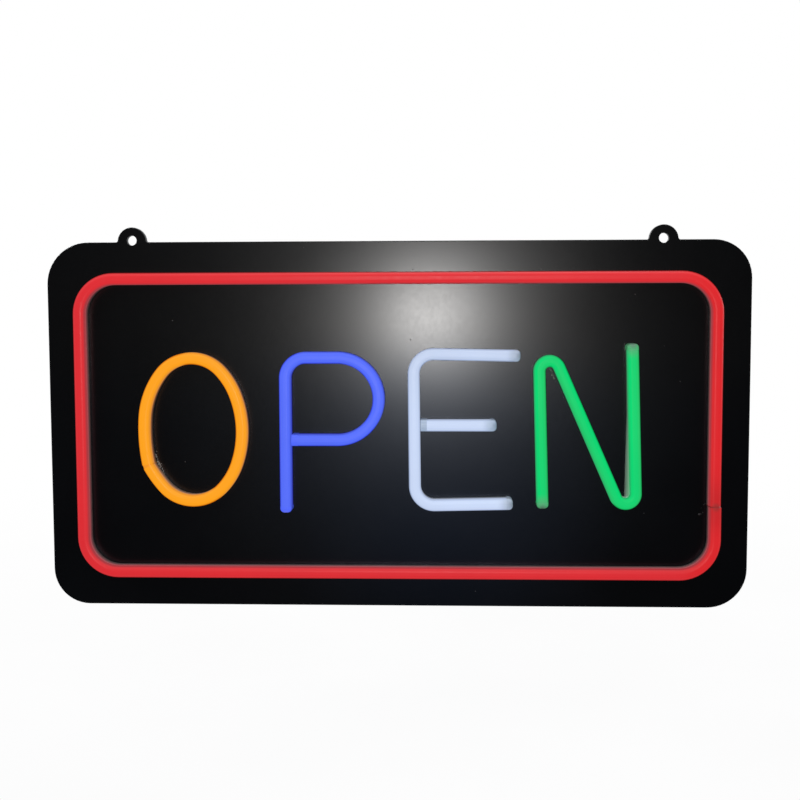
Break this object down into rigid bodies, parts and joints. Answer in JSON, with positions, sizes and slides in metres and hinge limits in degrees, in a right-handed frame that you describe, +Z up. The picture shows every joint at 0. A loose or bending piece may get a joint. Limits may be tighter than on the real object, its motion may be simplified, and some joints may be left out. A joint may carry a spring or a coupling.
{
  "type": "lighted sign board",
  "caption": "Black rounded rectangular hanging sign board with two ears, a lit red border tube and lit coloured tube letters on the front, closed by a shallow rear cover.",
  "frame": {"origin": "centre of the board outline (without the ears) on the flat back of the rear cover, the plane that lies on a wall or window", "axes": "X to the right seen from the front, Z up, the lit face looks along -Y and +Y points out of the back"},
  "size_m": [0.5, 0.0295, 0.2725],
  "materials": {
    "panel_black": "matte black moulded sheet",
    "cover_black": "fine moulded texture",
    "silicone_red": "translucent matte silicone, lit",
    "silicone_orange": "translucent matte silicone, lit",
    "silicone_blue": "translucent matte silicone, lit",
    "silicone_white": "translucent matte silicone, lit",
    "silicone_green": "translucent matte silicone, lit",
    "channel_silicone": "opaque matte silicone",
    "cap_silicone": "milky silicone",
    "strip_film": "white solder mask film",
    "led_chip": "phosphor face",
    "brass_fitting": "knurled brass",
    "screw_black": "black oxide steel",
    "nickel_steel": "nickel plate",
    "contact_copper": "copper alloy strip",
    "board_laminate": "green solder mask",
    "resistor_body": "black glazed chip",
    "terminal_plastic": "green nylon",
    "grommet_rubber": "soft rubber",
    "lead_red": "insulation",
    "lead_black": "insulation",
    "fitting_black": "satin nylon",
    "rocker_black": "polished nylon"
  },
  "bodies": {
    "sign": {"board_resistors": "resistor_body", "board_terminals": "terminal_plastic", "border_channel": "channel_silicone", "border_diffuser": "silicone_red", "border_led_chips": "led_chip", "border_led_strip": "strip_film", "border_splice": "cap_silicone", "circuit_board": "board_laminate", "circuit_board_screws": "nickel_steel", "cover_inserts": "brass_fitting", "cover_screws": "screw_black", "e_bar_channel": "channel_silicone", "e_bar_diffuser": "silicone_white", "e_bar_end_caps": "cap_silicone", "e_bar_led_chips": "led_chip", "e_bar_led_strip": "strip_film", "front_panel": "panel_black", "lead_grommets": "grommet_rubber", "leads_negative": "lead_black", "leads_positive": "lead_red", "letter_e_channel": "channel_silicone", "letter_e_diffuser": "silicone_white", "letter_e_end_caps": "cap_silicone", "letter_e_led_chips": "led_chip", "letter_e_led_strip": "strip_film", "letter_n_channel": "channel_silicone", "letter_n_diffuser": "silicone_green", "letter_n_end_caps": "cap_silicone", "letter_n_led_chips": "led_chip", "letter_n_led_strip": "strip_film", "letter_o_channel": "channel_silicone", "letter_o_diffuser": "silicone_orange", "letter_o_led_chips": "led_chip", "letter_o_led_strip": "strip_film", "letter_o_splice": "cap_silicone", "letter_p_channel": "channel_silicone", "letter_p_diffuser": "silicone_blue", "letter_p_end_caps": "cap_silicone", "letter_p_led_chips": "led_chip", "letter_p_led_strip": "strip_film", "rear_cover": "cover_black", "socket_body": "fitting_black", "socket_nut": "nickel_steel", "socket_pin": "nickel_steel", "socket_tag": "nickel_steel", "supply_lead_negative": "lead_black", "supply_lead_positive": "lead_red", "switch_housing": "fitting_black", "switch_tags": "nickel_steel"},
    "rocker": {"switch_rocker": "rocker_black", "switch_contact": "contact_copper"}
  },
  "joints": [
    {"name": "rocker_tilt", "type": "hinge", "parent": "sign", "child": "rocker", "pos_m": [0.14, -0.0074, -0.1251], "axis": [0, 1, 0], "range_deg": [-20, 0]}
  ]
}
